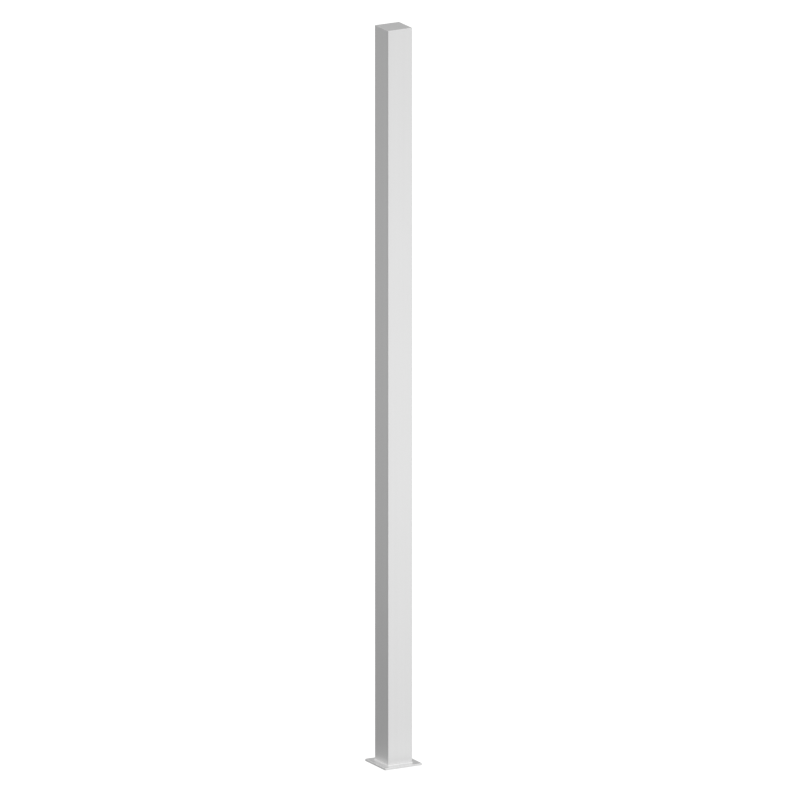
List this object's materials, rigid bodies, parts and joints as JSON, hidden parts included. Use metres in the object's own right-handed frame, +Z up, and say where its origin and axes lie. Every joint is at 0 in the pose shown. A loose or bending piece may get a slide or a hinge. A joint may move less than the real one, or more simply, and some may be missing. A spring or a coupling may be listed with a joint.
{
  "type": "square aluminium post with base plate",
  "caption": "Square hollow aluminium post, closed by a flat cap and welded upright on a thin square base plate, for carrying rails, panels or a light fitting.",
  "frame": {"origin": "centre of the base plate's underside, on the floor", "axes": "+Z up along the post; X and Y square to the tube's faces"},
  "size_m": [0.1, 0.1, 1.8],
  "materials": {
    "plate_aluminium": "satin",
    "tube_aluminium": "satin",
    "cap_aluminium": "satin"
  },
  "bodies": {
    "root": {"base_plate": "plate_aluminium", "post_tube": "tube_aluminium", "top_cap": "cap_aluminium"}
  },
  "joints": []
}
